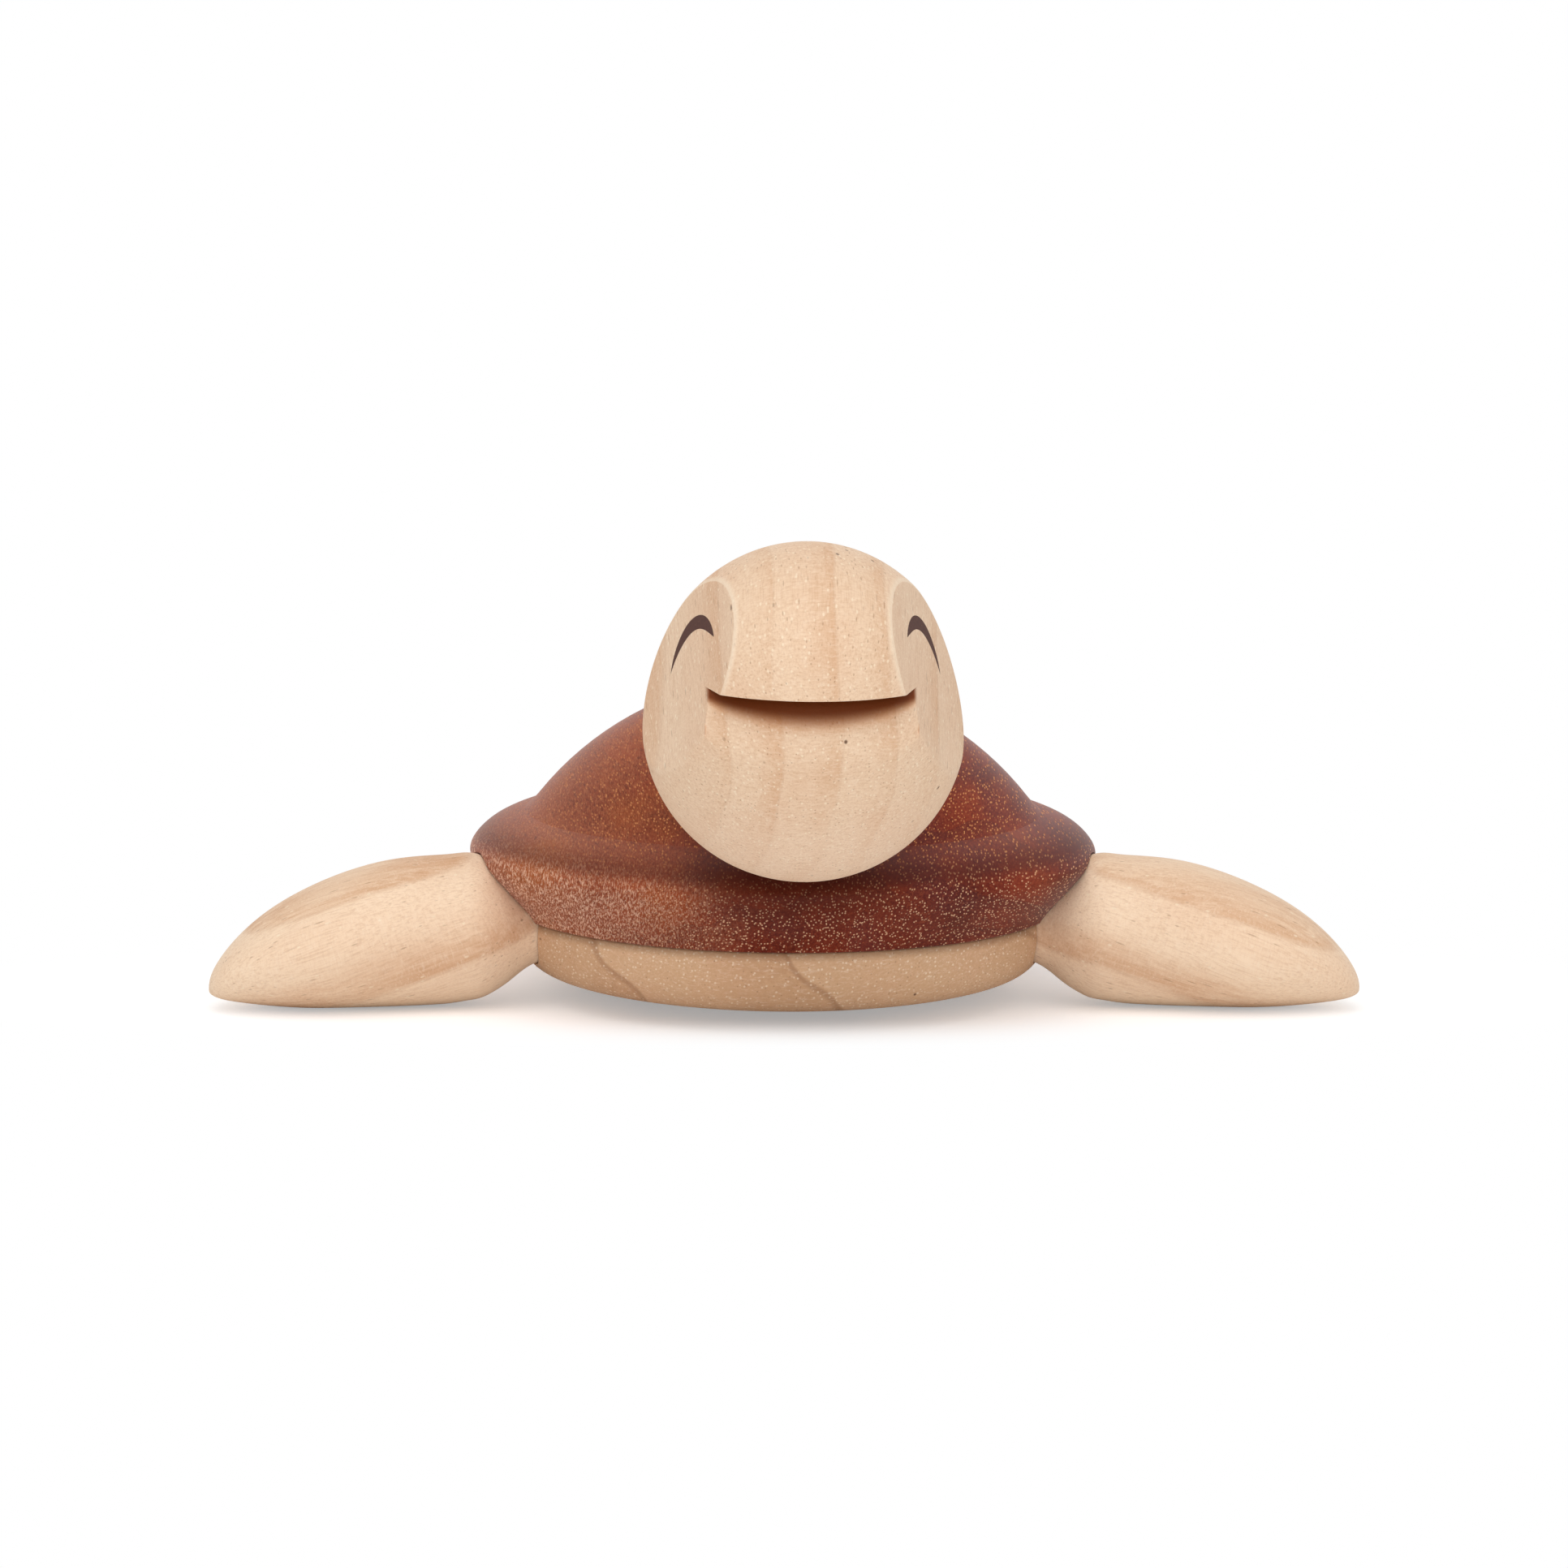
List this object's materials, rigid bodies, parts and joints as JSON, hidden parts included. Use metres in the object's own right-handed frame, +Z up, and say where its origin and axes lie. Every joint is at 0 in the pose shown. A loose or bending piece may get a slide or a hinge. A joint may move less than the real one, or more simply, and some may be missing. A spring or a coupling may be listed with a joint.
{
  "type": "turtle figurine",
  "caption": "Wooden sea turtle ornament: turned dark shell on a pale belly bowl, egg-shaped head with closed crescent eyes, chubby flippers that turn on pegs.",
  "frame": {"origin": "centre of the belly's flat, on the surface that the figurine stands on", "axes": "+X to the turtle's own left, -Y the way the head looks, +Z up"},
  "size_m": [0.182, 0.1507, 0.0798],
  "materials": {
    "shell_wood": "oiled, satin",
    "belly_wood": "fine sanded, waxed",
    "pale_wood": "fine sanded, waxed",
    "eye_wood": "matte",
    "peg_wood": "sanded",
    "washer_leather": "natural",
    "ring_rubber": "matte"
  },
  "bodies": {
    "body": {"shell": "shell_wood", "belly": "belly_wood", "belly_dowels": "peg_wood"},
    "head_body": {"head": "pale_wood", "left_eye": "eye_wood", "right_eye": "eye_wood", "neck_peg": "peg_wood", "neck_washer": "washer_leather", "neck_friction_ring": "ring_rubber"},
    "left_front_flipper_body": {"left_front_flipper": "pale_wood", "left_front_flipper_peg": "peg_wood", "left_front_friction_ring": "ring_rubber"},
    "left_rear_flipper_body": {"left_rear_flipper": "pale_wood", "left_rear_flipper_peg": "peg_wood", "left_rear_friction_ring": "ring_rubber"},
    "right_front_flipper_body": {"right_front_flipper": "pale_wood", "right_front_flipper_peg": "peg_wood", "right_front_friction_ring": "ring_rubber"},
    "right_rear_flipper_body": {"right_rear_flipper": "pale_wood", "right_rear_flipper_peg": "peg_wood", "right_rear_friction_ring": "ring_rubber"}
  },
  "joints": [
    {"name": "head_turn", "type": "hinge", "parent": "body", "child": "head_body", "pos_m": [0, -0.06, 0.0525], "axis": [0, -0.766, 0.6428], "continuous": true},
    {"name": "left_front_flipper_turn", "type": "hinge", "parent": "body", "child": "left_front_flipper_body", "pos_m": [0, -0.012, 0.0127], "axis": [1, 0, 0], "continuous": true},
    {"name": "left_rear_flipper_turn", "type": "hinge", "parent": "body", "child": "left_rear_flipper_body", "pos_m": [0, 0, 0.0127], "axis": [0.6157, 0.788, 0], "continuous": true},
    {"name": "right_front_flipper_turn", "type": "hinge", "parent": "body", "child": "right_front_flipper_body", "pos_m": [0, -0.012, 0.0127], "axis": [-1, 0, 0], "continuous": true},
    {"name": "right_rear_flipper_turn", "type": "hinge", "parent": "body", "child": "right_rear_flipper_body", "pos_m": [0, 0, 0.0127], "axis": [-0.6157, 0.788, 0], "continuous": true}
  ]
}
